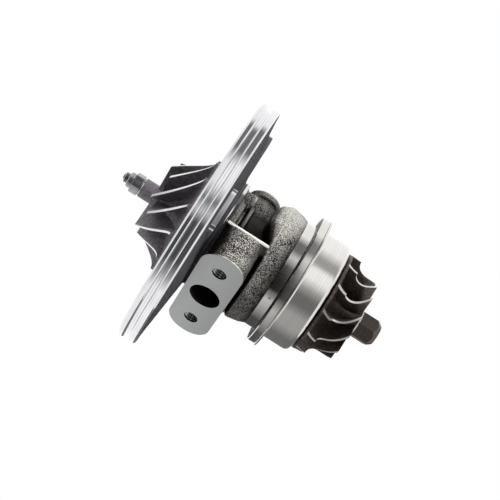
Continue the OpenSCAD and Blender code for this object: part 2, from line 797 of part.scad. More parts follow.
module bearing_housing() {
    dimple_angle = 240;
    color("gray") {
        difference() {
            union() {
                housing_turning();
                drain_block();
                inlet_boss();
                ring_of(screw_angles, plate_screw_circle)
                    bar(housing_x + 1, housing_x + screw_grip + 2, screw_boss_r);
            }
            bar(housing_x - 1, thrust_back, thrust_r + seat_fit);
            bar(housing_x, bore_x, thrust_cavity_r);
            bar(bore_x - 1, bore_end + 1, bore_r);
            for (x = [front_snap_x, rear_snap_x])
                bar(x - seat_fit, x + snap_t + seat_fit, bore_r + snap_depth);
            bar(bore_end, rear_cavity_end, rear_cavity_r);
            bar(rear_cavity_end - 1, nose_end + 1, seal_bore);
            ring_of(screw_angles, plate_screw_circle)
                bar(housing_x - 1, housing_x + screw_grip + seat_fit, screw_r + seat_fit);
            ring_of(thrust_screw_angles, thrust_screw_circle)
                bar(thrust_back - 1, housing_x + thrust_screw_len + seat_fit, thrust_screw_r + seat_fit);
            translate([drain_x, 0, -drain_drop - 1])
                cylinder(h = drain_drop - drain_shoulder + 1, r = drain_hole_r);
            translate([riser_x, 0, -drain_shoulder - 2])
                cylinder(h = drain_shoulder + 2, r = riser_r);
            for (y = [-1, 1])
                translate([drain_x, y * drain_bolt_span / 2, -drain_drop - 1])
                    cylinder(h = drain_bolt_depth + 1, r = drain_bolt_r);
            translate([inlet_x, 0, inlet_floor])
                cylinder(h = inlet_depth + 1, r = inlet_r);
            translate([inlet_x, 0, inlet_floor - drill_point_depth])
                cylinder(h = drill_point_depth + 1, r = drill_point_r);
            oil_feed(inlet_x - feed_offset, front_bush_x + bush_len / 2);
            oil_feed(inlet_x + feed_offset, rear_bush_x + bush_len / 2);
            rotate([dimple_angle, 0, 0])
                translate([(land_x + rim_x) / 2, land_r - 1.2, 0])
                    rotate([-90, 0, 0])
                        cylinder(h = 3, r = 0.7);
        }
    }
}

bearing_housing();
seal_plate();
seal_plate_screws();
seal_plate_o_ring();
thrust_bearing();
thrust_bearing_screws();
oil_deflector();
compressor_piston_ring();
turbine_piston_ring();
front_snap_ring();
rear_snap_ring();
bearing_spacer();
heat_shield();
front_bearing();
rear_bearing();
rotor_shaft();
oil_flinger();
thrust_spacer();
thrust_washer();
compressor_wheel();
compressor_nut();
turbine_wheel();
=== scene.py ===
# %% [markdown]
# # A turbo cartridge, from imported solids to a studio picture
# The cartridge is the middle of a turbocharger. A compressor wheel and a turbine wheel share one shaft,
# which runs in a cast housing between a turned seal plate and a pressed heat shield.
# The solids already have their true size and place. This lesson gives them the finishes that the real
# pieces have, and builds again, more finely, the pieces whose curves need it.

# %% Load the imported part
import math

import bmesh
import bpy
import numpy as np
from mathutils import Matrix, Vector


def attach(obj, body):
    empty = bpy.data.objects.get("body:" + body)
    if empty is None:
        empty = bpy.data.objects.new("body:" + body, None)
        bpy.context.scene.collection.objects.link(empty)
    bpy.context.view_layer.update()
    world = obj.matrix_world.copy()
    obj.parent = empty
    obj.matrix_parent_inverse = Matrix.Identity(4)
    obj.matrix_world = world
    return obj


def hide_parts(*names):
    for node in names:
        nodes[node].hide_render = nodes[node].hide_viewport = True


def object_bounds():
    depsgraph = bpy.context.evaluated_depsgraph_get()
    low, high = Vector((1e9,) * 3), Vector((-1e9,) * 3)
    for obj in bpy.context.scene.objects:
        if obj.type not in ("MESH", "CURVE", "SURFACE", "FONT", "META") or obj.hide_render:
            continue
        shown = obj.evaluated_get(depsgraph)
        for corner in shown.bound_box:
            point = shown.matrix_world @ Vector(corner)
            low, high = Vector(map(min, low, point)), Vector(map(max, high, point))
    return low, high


MM = 0.001
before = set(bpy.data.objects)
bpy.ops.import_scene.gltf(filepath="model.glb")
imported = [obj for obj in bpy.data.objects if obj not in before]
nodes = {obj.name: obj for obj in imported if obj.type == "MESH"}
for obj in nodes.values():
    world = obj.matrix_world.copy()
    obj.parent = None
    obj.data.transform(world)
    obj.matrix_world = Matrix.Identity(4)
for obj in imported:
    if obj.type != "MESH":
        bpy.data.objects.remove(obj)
cad_box = [list(corner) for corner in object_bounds()]
scene = bpy.context.scene
scene.view_settings.view_transform = "Standard"
print("packed nodes:", len(nodes))

# %% [markdown]
# ## The camera
# The picture looks up at the cartridge from below its front, and the rotor's axis runs down to the
# right. A camera can be aimed by hand, but here its three axes come from those angles, so that each
# angle can be changed by itself. The lens follows from how many millimetres one pixel covers.

# %% Directions of the view
ROLL = math.radians(32.45)
BELOW = math.radians(36)
TOWARD_COMPRESSOR = math.radians(1.4)

rotor = Vector((1, 0, 0))
toward = Vector((0, -math.cos(BELOW), -math.sin(BELOW)))
upward = toward.cross(rotor)
back = toward * math.cos(TOWARD_COMPRESSOR) - rotor * math.sin(TOWARD_COMPRESSOR)
level = rotor * math.cos(TOWARD_COMPRESSOR) + toward * math.sin(TOWARD_COMPRESSOR)
right = level * math.cos(ROLL) + upward * math.sin(ROLL)
up = upward * math.cos(ROLL) - level * math.sin(ROLL)
print("the camera lies towards", [round(part, 2) for part in back])

# %% Camera
PICTURE, PIXEL = 500, 0.57 * MM
DISTANCE, SENSOR = 680 * MM, 36
AIM_ALONG, AIM_UP = 38.2 * MM, 2.7 * MM

aim = rotor * AIM_ALONG + upward * AIM_UP
lens = bpy.data.cameras.new("camera")
lens.sensor_width = SENSOR
lens.lens = SENSOR * DISTANCE / (PICTURE * PIXEL)
camera = bpy.data.objects.new("camera", lens)
turn = Matrix((right, up, back)).transposed().to_4x4()
camera.matrix_world = Matrix.Translation(aim + back * DISTANCE) @ turn
scene.collection.objects.link(camera)
scene.camera = camera
print("lens: %.0f mm" % lens.lens)

# %% [markdown]
# ## Helpers for materials
# Colours are easiest to read as hex codes from a picture, but a shader wants linear light, so one
# function turns the first into the second. Another adds one node to a tree: its settings go in by
# name, and each input takes a value, an output of an earlier node, or the node itself for its first one.

# %% Helpers for materials
# Places of a colour mix's two colours and of its result among its sockets
FIRST, SECOND, MIXED = 6, 7, 2


def linear(code):
    """Linear colour of an sRGB hex code."""
    shares = [int(code[i:i + 2], 16) / 255 for i in (1, 3, 5)]
    return [c / 12.92 if c <= 0.04045 else ((c + 0.055) / 1.055) ** 2.4 for c in shares] + [1]


def add(tree, kind, inputs=None, **settings):
    """A new node of a kind, with its settings, and its inputs set or linked."""
    node = tree.nodes.new("ShaderNode" + kind)
    for name, value in settings.items():
        setattr(node, name, value)
    for name, value in (inputs or {}).items():
        if isinstance(value, bpy.types.Node):
            value = value.outputs[0]
        if isinstance(value, bpy.types.NodeSocket):
            tree.links.new(value, node.inputs[name])
        else:
            node.inputs[name].default_value = value
    return node


def new_material(name):
    """An empty material and its node tree."""
    material = bpy.data.materials.new(name)
    material.use_nodes = True
    material.node_tree.nodes.clear()
    return material, material.node_tree


def close_tree(tree, **inputs):
    """Ends a tree in one surface, whose inputs are named with _ for each space."""
    named = {name.replace("_", " "): value for name, value in inputs.items()}
    surface = add(tree, "BsdfPrincipled", named)
    add(tree, "OutputMaterial", {"Surface": surface})


print("half grey in linear light: %.2f" % linear("#808080")[0])

# %% [markdown]
# ## Turned metal
# A lathe leaves fine rings, all round the axis. Noise that is read at the place along the axis and the
# distance from it has the same value all the way round, so it draws such rings on faces, cones and rims
# alike. Finishes also change from place to place on one piece, so a second helper gives 1 inside some
# limits, and 0 elsewhere. The seal plate needs it: front and rim are turned, where it seals, but its
# back stays as it was cast, apart from raised pads.

# %% Places on a turned piece
CAST_BACK_START, CAST_BACK_R = 11.3 * MM, 76.4 * MM
PAD_START, PAD_R = 12.6 * MM, 62.9 * MM
# A limit, in metres, that nothing on the cartridge reaches
FAR = 1


def lathe_place(tree):
    """Place along the rotor's axis, distance from it, and the two as a vector."""
    axes = add(tree, "SeparateXYZ", {0: add(tree, "TexCoord").outputs["Object"]}).outputs
    across = add(tree, "CombineXYZ", {1: axes["Y"], 2: axes["Z"]})
    radius = add(tree, "VectorMath", {0: across}, operation="LENGTH").outputs["Value"]
    return axes["X"], radius, add(tree, "CombineXYZ", {0: axes["X"], 1: radius})


def inside(tree, *ranges):
    """1 where each value lies between its two limits, and 0 elsewhere."""
    found = 1
    for value, low, high in ranges:
        for limit, comparison in (low, "GREATER_THAN"), (high, "LESS_THAN"):
            held = add(tree, "Math", {0: value, 1: limit}, operation=comparison)
            found = add(tree, "Math", {0: found, 1: held}, operation="MULTIPLY")
    return found


def cast_back_share(tree, along, radius):
    """1 on the cast back of the seal plate, and 0 on all that is turned."""
    back_side = inside(tree, (along, CAST_BACK_START, FAR), (radius, -FAR, CAST_BACK_R))
    pads = inside(tree, (along, PAD_START, FAR), (radius, PAD_R, FAR))
    return add(tree, "Math", {0: back_side, 1: pads}, operation="SUBTRACT", use_clamp=True)


print("pads on the plate's back: %.1f mm high" % ((PAD_START - CAST_BACK_START) / MM))

# %% [markdown]
# ### Rings and wear
# The rings shift the colour and the gloss a little, and patches of wear do the same. Real rings are a
# tenth of a millimetre apart, too fine to show here, so they are drawn coarser. The cast back is a dull
# dark grey that reflects almost nothing.

# %% Turned metal
WEAR_PATCH = 9 * MM


def turned_metal(name, dark, pale, ring, smooth, rough, groove, cast_back=False):
    """Metal with rings of a width, between two colours and two roughnesses, cut to a depth."""
    material, tree = new_material(name)
    along, radius, lathe = lathe_place(tree)
    place = add(tree, "TexCoord").outputs["Object"]
    rings = add(tree, "TexNoise", {"Vector": lathe, "Scale": 1 / ring, "Detail": 2},
                noise_dimensions="2D").outputs["Fac"]
    wear = add(tree, "TexNoise", {"Vector": place, "Scale": 1 / WEAR_PATCH, "Detail": 4}).outputs["Fac"]
    both = add(tree, "Mix", {"Factor": 0.3, "A": rings, "B": wear})
    share = add(tree, "MapRange", {"Value": both, "From Min": 0.3, "From Max": 0.7})
    tint = add(tree, "Mix", {0: share, FIRST: linear(dark), SECOND: linear(pale)},
               data_type="RGBA").outputs[MIXED]
    gloss = add(tree, "MapRange", {"Value": share, "To Min": rough, "To Max": smooth})
    relief = add(tree, "Bump", {"Height": rings, "Distance": groove, "Strength": 0.6})
    metal, sheen = 1, 0.5
    if cast_back:
        cast = cast_back_share(tree, along, radius)
        tint = add(tree, "Mix", {0: cast, FIRST: tint, SECOND: linear("#565459")},
                   data_type="RGBA").outputs[MIXED]
        gloss = add(tree, "Mix", {"Factor": cast, "A": gloss, "B": 0.85})
        metal = add(tree, "MapRange", {"Value": cast, "To Min": 1, "To Max": 0})
        sheen = add(tree, "MapRange", {"Value": cast, "To Min": 0.5, "To Max": 0.12})
    close_tree(tree, Base_Color=tint, Roughness=gloss, Metallic=metal, Specular_IOR_Level=sheen,
               Normal=relief)
    return material


print("patches of wear: %.0f mm" % (WEAR_PATCH / MM))

# %% Turned finishes
# Finely turned aluminium: almost a mirror, with long streaks of light and dark along the rim
turned_aluminium = turned_metal("turned_aluminium", "#cfcfd2", "#ececee", 0.7 * MM, 0.08, 0.15, 0.004 * MM,
                                cast_back=True)
# Bright steel: darker than aluminium, with short sharp glints on its corners
bright_steel = turned_metal("bright_turned_steel", "#8c8c8e", "#b0b0b2", 0.4 * MM, 0.12, 0.2, 0.006 * MM)
# Ground steel: a grey satin
journal_steel = turned_metal("ground_journal_steel", "#8a8b8e", "#b9babd", 0.5 * MM, 0.14, 0.24, 0.01 * MM)
# Spun stainless sheet: pale, with wide soft bands round the cup
stainless = turned_metal("spun_stainless_sheet", "#dad8d4", "#e6e4e0", 0.8 * MM, 0.14, 0.17, 0.002 * MM)
# Bearing bronze: brown gold and not very glossy
bronze = turned_metal("turned_bearing_bronze", "#8a6a35", "#c39b57", 0.5 * MM, 0.22, 0.36, 0.02 * MM)
# Ground iron: dull and bluish
ring_iron = turned_metal("ground_ring_iron", "#57565a", "#85848a", 0.4 * MM, 0.26, 0.4, 0.01 * MM)
# Steel that lies in oil: nearly black, with a soft shine
oiled_steel = turned_metal("oiled_dark_steel", "#2c2b2d", "#4b4a4d", 0.5 * MM, 0.28, 0.42, 0.01 * MM)
print("turned finishes: 7")

# %% [markdown]
# ## Sand-cast iron, machined where it is clamped
# Sand leaves a dull, grainy skin. The faces that meet other parts are cut clean and shine. Two materials
# on two sets of faces would do, but one material that knows its places also lets the skin change slowly
# from place to place. First it finds what is cut: both turned ends, the rim of the front flange, and the
# milled pads of the drain and the inlet. A dark seam stays in the corner behind the land.

# %% Machined places of the housing
FLANGE_FRONT, FLANGE_BACK, FLANGE_R = 16.6 * MM, 19.2 * MM, 33.1 * MM
LAND_START, SEAM_START, SEAM_END, SEAM_R = 57.1 * MM, 63.1 * MM, 63.85 * MM, 40.3 * MM
DRAIN_FACE, INLET_FACE, INLET_END = -39.8 * MM, 35.9 * MM, 41.5 * MM

cast_iron, tree = new_material("sand_cast_grey_iron")
place = add(tree, "TexCoord").outputs["Object"]
axes = add(tree, "SeparateXYZ", {0: place}).outputs
along, radius, lathe = lathe_place(tree)
hot_end = inside(tree, (along, LAND_START, FAR))
front_end = inside(tree, (along, -FAR, FLANGE_FRONT))
flange_rim = inside(tree, (along, -FAR, FLANGE_BACK), (radius, FLANGE_R, FAR))
seam = inside(tree, (along, SEAM_START, SEAM_END), (radius, -FAR, SEAM_R))
drain = inside(tree, (axes["Z"], -FAR, DRAIN_FACE))
inlet = inside(tree, (axes["Z"], INLET_FACE, FAR), (along, -FAR, INLET_END))

ends = add(tree, "Math", {0: hot_end, 1: front_end}, operation="MAXIMUM")
ends = add(tree, "Math", {0: ends, 1: flange_rim}, operation="MAXIMUM")
ends = add(tree, "Math", {0: ends, 1: seam}, operation="SUBTRACT", use_clamp=True)
pads = add(tree, "Math", {0: drain, 1: inlet}, operation="MAXIMUM")
pads = add(tree, "Math", {0: pads, 1: hot_end}, operation="SUBTRACT", use_clamp=True)
cut = add(tree, "Math", {0: ends, 1: pads}, operation="MAXIMUM")
print("the land starts at %.1f mm" % (LAND_START / MM))

# %% [markdown]
# ### Grain
# Grains of sand print dark pits and paler tops. Fine noise draws them, and slower noise keeps the pattern
# from being even. Corners that stand out are rubbed pale, and the same share paints a highlight along
# every edge that stands out: Cycles gives how sharply each point stands out as Pointiness.

# %% Grain of the skin
CAST_GRAIN, CLOUD = 0.62 * MM, 9 * MM

grain = add(tree, "TexNoise", {"Vector": place, "Scale": 1 / CAST_GRAIN, "Detail": 1.5, "Roughness": 0.6})
grain = grain.outputs["Fac"]
cloud = add(tree, "TexNoise", {"Vector": place, "Scale": 1 / CLOUD, "Detail": 3}).outputs["Fac"]
speckle = add(tree, "Mix", {"Factor": 0.25, "A": grain, "B": cloud})
share = add(tree, "MapRange", {"Value": speckle, "From Min": 0.463, "From Max": 0.557})
skin = add(tree, "Mix", {0: share, FIRST: linear("#1f1c1b"), SECOND: linear("#bebbb6")}, data_type="RGBA")
# Rubbed corners and a painted highlight: pale along every edge that stands out
sharpness = add(tree, "NewGeometry").outputs["Pointiness"]
corner = add(tree, "MapRange", {"Value": sharpness, "From Min": 0.51, "From Max": 0.535, "To Max": 0.9})
print("cast iron grain: %.1f mm" % (CAST_GRAIN / MM))

# %% [markdown]
# ### Where shade is painted
# Shade is painted into the skin where other surfaces close a place in: the Ambient Occlusion node tells how
# open each place is, so open places stay unshaded. The pocket beside the waist is painted shaded all over.
# On the upper side and at the root behind the front flange, where light falls, less shade is painted.

# %% Painted shade
SHADE_REACH = 32 * MM
POCKET_SHADE_START, POCKET_SHADE_END, POCKET_SHADE_R = 28.2 * MM, 44.6 * MM, 23 * MM
LIT_TOP_START, LIT_TOP_END = 20 * MM, 25 * MM
ROOT_BACK, ROOT_FLOOR, ROOT_LIT = 24.6 * MM, -15.4 * MM, 0.5

# Painted shade: the less open a place is, the darker its skin is painted
openness = add(tree, "AmbientOcclusion", {"Distance": SHADE_REACH}, samples=12).outputs["AO"]
unshaded = add(tree, "MapRange", {"Value": openness, "From Min": 0.42, "From Max": 0.82})
# Painted shade over the whole pocket beside the waist
shaded_pocket = inside(tree, (along, POCKET_SHADE_START, POCKET_SHADE_END), (radius, -FAR, POCKET_SHADE_R))
left = add(tree, "MapRange", {"Value": shaded_pocket, "To Min": 1, "To Max": 0.1})
unshaded = add(tree, "Math", {0: unshaded, 1: left}, operation="MULTIPLY")
rise = add(tree, "VectorMath", {0: place, 1: upward}, operation="DOT_PRODUCT").outputs["Value"]
# Less painted shade on the upper side, where light falls
lit_top = add(tree, "MapRange", {"Value": rise, "From Min": LIT_TOP_START, "From Max": LIT_TOP_END,
                               "To Max": 0.45})
# Less painted shade at the root behind the front flange, where light falls
root = inside(tree, (along, -FAR, ROOT_BACK), (axes["Z"], ROOT_FLOOR, FAR))
root = add(tree, "Math", {0: root, 1: ROOT_LIT}, operation="MULTIPLY")
for share in (lit_top, root):
    unshaded = add(tree, "Math", {0: unshaded, 1: share}, operation="MAXIMUM")
print("dirt gathers within %.0f mm of other surfaces" % (SHADE_REACH / MM))

# %% [markdown]
# ### Painted shade and a painted highlight on the drum
# Towards the turbine end the drum is painted darker, as painted shade on its lower side that fades on top,
# where a painted highlight pales its skin instead. Painted shade also darkens the underside and the gap
# between the drain block and the drum. The web and the inlet's boss are painted a little darker. Each of
# these is a share between 0 and 1, and the strongest one counts.

# %% Painted shade on the drum
GAP_END, GAP_TOP = 45.6 * MM, -16.2 * MM
WEB_START, WEB_END, WEB_R, WEB_DARKER = 25 * MM, 28.8 * MM, 25.4 * MM, 0.5
# What each share follows, from where to where in millimetres, and its value at both ends
FADES = {
    "heat": (along, 44, 57, 0, 0.88), "lower_shade": (rise, 12, 28, 1, 0.3), "underside_shade": (rise, -13, -21, 0, 0.65),
    "gap_shade": (along, 37, 44.5, 0, 0.8), "drum": (along, 41, 45, 0, 1), "boss": (rise, 20, 27, 0, 0.3),
    "bare": (rise, 18, 30, 0, 0.32),
}

fades = {}
for name, (value, start, end, low, high) in FADES.items():
    fades[name] = add(tree, "MapRange", {"Value": value, "From Min": start * MM, "From Max": end * MM,
                                         "To Min": low, "To Max": high})
in_gap = inside(tree, (along, -FAR, GAP_END), (axes["Z"], -FAR, GAP_TOP))
on_web = inside(tree, (along, WEB_START, WEB_END), (radius, -FAR, WEB_R))
boss = add(tree, "Math", {0: fades["boss"], 1: fades["drum"]}, operation="SUBTRACT", use_clamp=True)
# Painted shade on the drum's lower side, on the underside and in the gap; the web and the boss darker
films = ((fades["heat"], fades["lower_shade"]), (fades["underside_shade"], 1), (fades["gap_shade"], in_gap), (on_web, WEB_DARKER),
         (boss, 1))
painted_darkening = 0
for share, place_share in films:
    film = add(tree, "Math", {0: share, 1: place_share}, operation="MULTIPLY")
    painted_darkening = add(tree, "Math", {0: painted_darkening, 1: film}, operation="MAXIMUM")
# Painted highlight: the drum's top is painted paler
bare = add(tree, "Math", {0: fades["bare"], 1: fades["drum"]}, operation="MULTIPLY")
print("films of soot:", len(films))

# %% [markdown]
# ### Layers of colour
# The layers go on in this order: grain, rubbed corners with a painted highlight on their edges, a painted
# highlight on the drum's top, painted shade with darker tones, and painted shade in the hollows. Last comes
# a painted highlight: a bright line along the lip of the drain block's shelf.

# %% Layers of the skin
LIP_SIDE, LIP_FLOOR, LIP_TOP, LIP_END, LIP_HIGHLIGHT = 38.9 * MM, -17.8 * MM, -15 * MM, 45.5 * MM, 0.8

side = add(tree, "Math", {0: axes["Y"]}, operation="ABSOLUTE")
on_lip = inside(tree, (side, LIP_SIDE, FAR), (axes["Z"], LIP_FLOOR, LIP_TOP), (along, -FAR, LIP_END))
# Painted highlight: a bright line along the lip of the drain block's shelf
lip = add(tree, "Math", {0: on_lip, 1: LIP_HIGHLIGHT}, operation="MULTIPLY")
# Painted shade, strongest where a place is least open
painted_shade = add(tree, "MapRange", {"Value": unshaded, "To Min": 1, "To Max": 0})
tint = skin.outputs[MIXED]
# Rubbed corners with a painted highlight, painted highlight on top, painted shade, painted shade in hollows
layers = (corner, "#e2dfd8"), (bare, "#e0ddd7"), (painted_darkening, "#151211"), (painted_shade, "#0f0c0b"), (lip, "#eceae5")
for share, colour in layers:
    tint = add(tree, "Mix", {0: share, FIRST: tint, SECOND: linear(colour)}, data_type="RGBA").outputs[MIXED]
print("layers on the grain:", len(layers))

# %% [markdown]
# ### Cut faces and the finished iron
# Turned ends shine like the other turned metal, and milled pads are an even, pale satin. Grain stands up
# in the relief only where the skin is left. Where shade is painted, the iron also reflects less.

# %% Finished iron
RING, GRAIN_HEIGHT = 0.8 * MM, 0.4 * MM

rings = add(tree, "TexNoise", {"Vector": lathe, "Scale": 1 / RING, "Detail": 2},
            noise_dimensions="2D").outputs["Fac"]
cut_tints = (ends, rings, "#d0cecb", "#e0deda"), (pads, grain, "#b0b3b1", "#c6c8c6")
for place_share, pattern, dark, pale in cut_tints:
    bright = add(tree, "Mix", {0: pattern, FIRST: linear(dark), SECOND: linear(pale)}, data_type="RGBA")
    tint = add(tree, "Mix", {0: place_share, FIRST: tint, SECOND: bright.outputs[MIXED]},
               data_type="RGBA").outputs[MIXED]
gloss = add(tree, "Mix", {"Factor": ends, "A": 0.55, "B": 0.09})
gloss = add(tree, "Mix", {"Factor": pads, "A": gloss, "B": 0.38})
metal = add(tree, "MapRange", {"Value": cut, "To Min": 0.45, "To Max": 1})
height = add(tree, "Mix", {"Factor": cut, "A": grain, "B": 0.5})
relief = add(tree, "Bump", {"Height": height, "Distance": GRAIN_HEIGHT, "Strength": 1})
# Where shade is painted, the iron is also made less shiny
shiny = add(tree, "Math", {0: unshaded, 1: cut}, operation="MAXIMUM")
sheen = add(tree, "MapRange", {"Value": shiny, "To Min": 0.1, "To Max": 0.5})
close_tree(tree, Base_Color=tint, Roughness=gloss, Metallic=metal, Specular_IOR_Level=sheen, Normal=relief)
print("nodes in the cast iron:", len(tree.nodes))

# %% [markdown]
# ## Cast wheels with machined edges
# Both wheels are investment castings: smooth, dark and slightly mottled between the blades. Only the
# outer edges of the blades are turned to size afterwards, so they alone are bright. A moulded rubber ring
# is mottled in the same way, but isn't a metal.

# %% Wheel finishes
def mottled(name, dark, pale, patch, smooth, rough, relief_height, metallic):
    """A cast or moulded skin, mottled between two colours in patches of a width."""
    material, tree = new_material(name)
    place = add(tree, "TexCoord").outputs["Object"]
    mottle = add(tree, "TexNoise", {"Vector": place, "Scale": 1 / patch, "Detail": 4}).outputs["Fac"]
    share = add(tree, "MapRange", {"Value": mottle, "From Min": 0.35, "From Max": 0.65})
    tint = add(tree, "Mix", {0: share, FIRST: linear(dark), SECOND: linear(pale)},
               data_type="RGBA").outputs[MIXED]
    gloss = add(tree, "MapRange", {"Value": share, "To Min": rough, "To Max": smooth})
    relief = add(tree, "Bump", {"Height": mottle, "Distance": relief_height, "Strength": 0.5})
    close_tree(tree, Base_Color=tint, Roughness=gloss, Metallic=metallic, Normal=relief)
    return material


# Cast aluminium: a dull violet grey without clear reflections
cast_aluminium = mottled("investment_cast_aluminium", "#57535a", "#716c70", 1.5 * MM, 0.45, 0.55,
                         0.02 * MM, 0.6)
# Cast nickel alloy: brown black, from its oxide
cast_nickel = mottled("investment_cast_nickel_alloy", "#3d3734", "#574f4a", 1.5 * MM, 0.4, 0.52,
                      0.03 * MM, 0.7)
# Profile-turned blade edges: thin lines that stay bright from every side, so they aren't mirrors
edge_aluminium = turned_metal("profile_turned_aluminium", "#e6e6e8", "#f6f6f6", 0.4 * MM, 0.4, 0.5,
                              0.004 * MM)
edge_nickel = turned_metal("profile_ground_nickel_alloy", "#cfccc8", "#ecebe8", 0.4 * MM, 0.38, 0.48,
                           0.004 * MM)
# Ground nickel alloy: dark, with a soft gleam on each flat of the hexagon
ground_nickel = turned_metal("ground_nickel_alloy", "#4d4744", "#6a625d", 0.5 * MM, 0.24, 0.34, 0.01 * MM)
# Moulded rubber: black and matt
rubber = mottled("moulded_rubber", "#141414", "#222222", 1.2 * MM, 0.5, 0.65, 0.02 * MM, 0)
print("finishes of wheels and rubber: 6")

# %% [markdown]
# ## Each solid gets its finish
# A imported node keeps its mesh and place, and only its material changes.

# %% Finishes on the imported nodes
FINISHES = {
    "bearing_housing": cast_iron, "seal_plate": turned_aluminium, "heat_shield": stainless,
    "seal_plate_screws": oiled_steel, "seal_plate_o_ring": rubber, "thrust_bearing": bronze,
    "thrust_bearing_screws": oiled_steel, "oil_deflector": stainless, "compressor_piston_ring": ring_iron,
    "turbine_piston_ring": ring_iron, "front_snap_ring": oiled_steel, "rear_snap_ring": oiled_steel,
    "bearing_spacer": journal_steel, "front_bearing": bronze, "rear_bearing": bronze,
    "rotor_shaft": journal_steel, "oil_flinger": journal_steel, "thrust_spacer": journal_steel,
    "thrust_washer": journal_steel, "compressor_wheel": cast_aluminium, "compressor_nut": bright_steel,
    "turbine_wheel": cast_nickel,
}
for name, material in FINISHES.items():
    nodes[name].data.materials.clear()
    nodes[name].data.materials.append(material)
print("finished nodes:", len(FINISHES))

# %% [markdown]
# ## Wheels with fine blades
# A wheel is a turned hub with twisted blades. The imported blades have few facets, enough for the
# mechanics but not for a close look, so both wheels are lofted again from the same curves: a blade is a
# grid of points along its chord and its span, turned about the axis, with a face on each side of it.
# A fillet widens each blade where it meets the hub, as the casting has. Six sheets close a blade: two
# sides, outer edge, root and two ends, of which the outer edge and the leading end are machined. Lengths
# are in millimetres until a piece is made.

# %% Points of a blade
FINE_CHORD, FINE_SPAN, EDGE_START = 56, 12, 0.985
ROOT_SINK, FILLET_H, EDGE_BREAK = 0.8, 2.6, 0.1


def mix(a, b, share):
    """A value between two others."""
    return a + (b - a) * share


def quarter(share):
    """Sine and cosine over a quarter turn."""
    return np.sin(share * math.pi / 2), np.cos(share * math.pi / 2)


def blade_points(path, turn, edge_t, start, fillet_w, root_extra):
    """Points of a blade's two faces, as an array of side, chord, span and axis, in millimetres."""
    span = np.append(np.linspace(0, EDGE_START, FINE_SPAN), 1)
    s, h = np.meshgrid(np.linspace(start, 1, FINE_CHORD), span, indexing="ij")
    x, r = path(s, h)
    angle = turn(s, x)
    along = np.hypot(np.gradient(x, axis=0), np.gradient(r, axis=0))
    lean = r * np.gradient(angle, axis=0) / along
    reach = np.hypot(x - x[:, :1], r - r[:, :1])
    fillet = fillet_w * np.clip(1 - (reach - ROOT_SINK) / FILLET_H, 0, 1) ** 2
    half = (edge_t + root_extra * (1 - h)) / 2 + fillet
    half[:, -1] -= EDGE_BREAK
    half = half / r * np.sqrt(1 + lean ** 2)
    faces = [np.stack((x, r * np.cos(angle + side * half), r * np.sin(angle + side * half)), axis=-1)
             for side in (-1, 1)]
    return np.array(faces)


print("points in a blade:", 2 * FINE_CHORD * (FINE_SPAN + 1))

# %% Faces of a blade
CAST_FACE, CUT_FACE, GROUND_FACE = 0, 1, 2
FLIPPED = [0, 3, 2, 1]


def grid_faces(number, closed=False):
    """Faces between neighbours in a grid of corner numbers, whose rows may close on themselves."""
    if closed:
        number = np.append(number, number[:, :1], axis=1)
    corners = number[:-1, :-1], number[:-1, 1:], number[1:, 1:], number[1:, :-1]
    return np.stack([c.ravel() for c in corners], axis=-1)


number = np.arange(2 * FINE_CHORD * (FINE_SPAN + 1)).reshape(2, FINE_CHORD, -1)
sheets = ((grid_faces(number[0])[:, FLIPPED], CAST_FACE), (grid_faces(number[1]), CAST_FACE),
          (grid_faces(number[:, :, -1]), CUT_FACE), (grid_faces(number[:, :, 0])[:, FLIPPED], CAST_FACE),
          (grid_faces(number[:, 0]), CUT_FACE), (grid_faces(number[:, -1])[:, FLIPPED], CAST_FACE))
fine_faces = np.concatenate([faces for faces, finish in sheets])
fine_finish = np.concatenate([np.full(len(faces), finish) for faces, finish in sheets])
print("faces in a blade:", len(fine_faces))

# %% [markdown]
# ### Turning about the axis
# A hub is a profile of places and radii that is turned about the axis, as on a lathe. Its points are a
# grid too, so its faces are found in the same way.

# %% Turned hubs
ROUND = 192
ANGLES = np.arange(ROUND) * 2 * math.pi / ROUND


def turned_points(x, r):
    """Points and faces of a surface with radii, one row for each place on the rotor's axis."""
    y, z = (r * np.cos(ANGLES)).ravel(), (r * np.sin(ANGLES)).ravel()
    points = np.stack((np.repeat(x, ROUND), y, z), axis=-1)
    return points, grid_faces(np.arange(len(points)).reshape(-1, ROUND), closed=True)


def about_axis(points, degrees):
    """Points turned about the rotor's axis."""
    a = math.radians(degrees)
    return points @ np.array([[1, 0, 0], [0, math.cos(a), math.sin(a)], [0, -math.sin(a), math.cos(a)]])


print("facets round a hub:", ROUND)

# %% [markdown]
# ### From points to a piece
# A piece is one mesh of several parts. Doubled corners are joined, faces are turned outwards, and sharp
# edges can be broken by a narrow strip. Bends under 30 degrees are then shaded as smooth.

# %% Making a piece
SMOOTH_BEND, SHARP_CORNER = math.radians(30), math.radians(50)
DOUBLED = 0.0005 * MM


